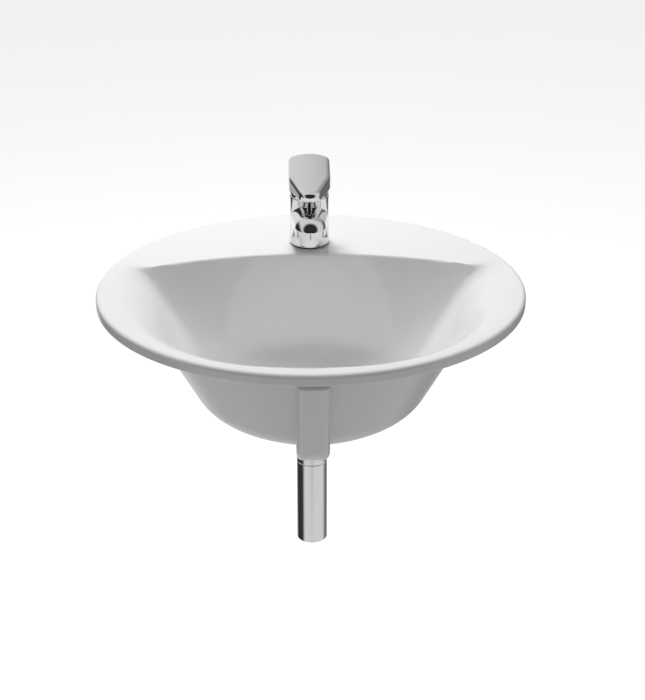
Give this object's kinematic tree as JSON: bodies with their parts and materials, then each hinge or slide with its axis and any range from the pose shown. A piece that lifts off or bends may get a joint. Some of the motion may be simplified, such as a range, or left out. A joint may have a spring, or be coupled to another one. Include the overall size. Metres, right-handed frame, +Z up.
{
  "type": "inset basin",
  "caption": "Oval ceramic basin that hangs on its rim in a cut-out, with a single-lever tap on its ledge and a push-open waste with an outlet tube.",
  "frame": {"origin": "centre of the rim's outer oval, in the plane of the rim's underside, which rests on the surface round the cut-out", "axes": "+Z up, +X to the right along the oval's long axis, -Y towards the front, where the user stands; the tap is at +Y"},
  "size_m": [0.52, 0.44, 0.448],
  "materials": {
    "glaze": "white gloss glaze",
    "chrome": "polished",
    "brass": "machined",
    "steel": "zinc plated or stainless",
    "disc_ceramic": "lapped",
    "white_plastic": "moulded",
    "grey_plastic": "moulded",
    "rubber": "matt"
  },
  "bodies": {
    "fixed": {"basin": "glaze", "tap_body": "chrome", "tap_base_gasket": "rubber", "fixing_stud": "steel", "horseshoe_rubber": "rubber", "horseshoe_plate": "steel", "fixing_nut": "brass", "cartridge_seals": "rubber", "cartridge_base": "white_plastic", "disc_seals": "rubber", "fixed_disc": "disc_ceramic", "cartridge_housing": "white_plastic", "retaining_nut": "brass", "dome_cover": "chrome", "aerator_housing": "chrome", "aerator_insert": "white_plastic", "aerator_washer": "rubber", "waste_body": "chrome", "flange_seal": "rubber", "throat_washer": "rubber", "waste_backnut": "brass", "click_core": "white_plastic", "plug_spring": "steel", "tailpiece": "chrome", "tail_o_ring": "rubber"},
    "turning": {"lever_guide": "grey_plastic", "spindle_pin": "steel"},
    "lever": {"lever_handle": "chrome", "spindle": "steel", "grub_screw": "steel", "index_plug": "grey_plastic"},
    "disc": {"moving_disc": "disc_ceramic", "disc_carrier": "grey_plastic"},
    "plug": {"plug_cap": "chrome", "plug_seal": "rubber", "plug_stem": "steel"}
  },
  "joints": [
    {"name": "lever_turn", "type": "hinge", "parent": "fixed", "child": "turning", "pos_m": [0, 0.134, 0.082], "axis": [0, 0, 1], "range_deg": [-45, 45]},
    {"name": "lever_lift", "type": "hinge", "parent": "turning", "child": "lever", "pos_m": [0, 0.134, 0.082], "axis": [-1, 0, 0], "range_deg": [0, 25]},
    {"name": "disc_slide", "type": "slide", "parent": "turning", "child": "disc", "axis": [0, -1, 0], "range_m": [0, 0.00633]},
    {"name": "plug_lift", "type": "slide", "parent": "fixed", "child": "plug", "axis": [0, 0, 1], "range_m": [0, 0.008], "deforming": ["plug_spring"]}
  ],
  "couplings": [
    {"joint": "disc_slide", "follows": "lever_lift", "m_per_rad": 0.0145}
  ]
}
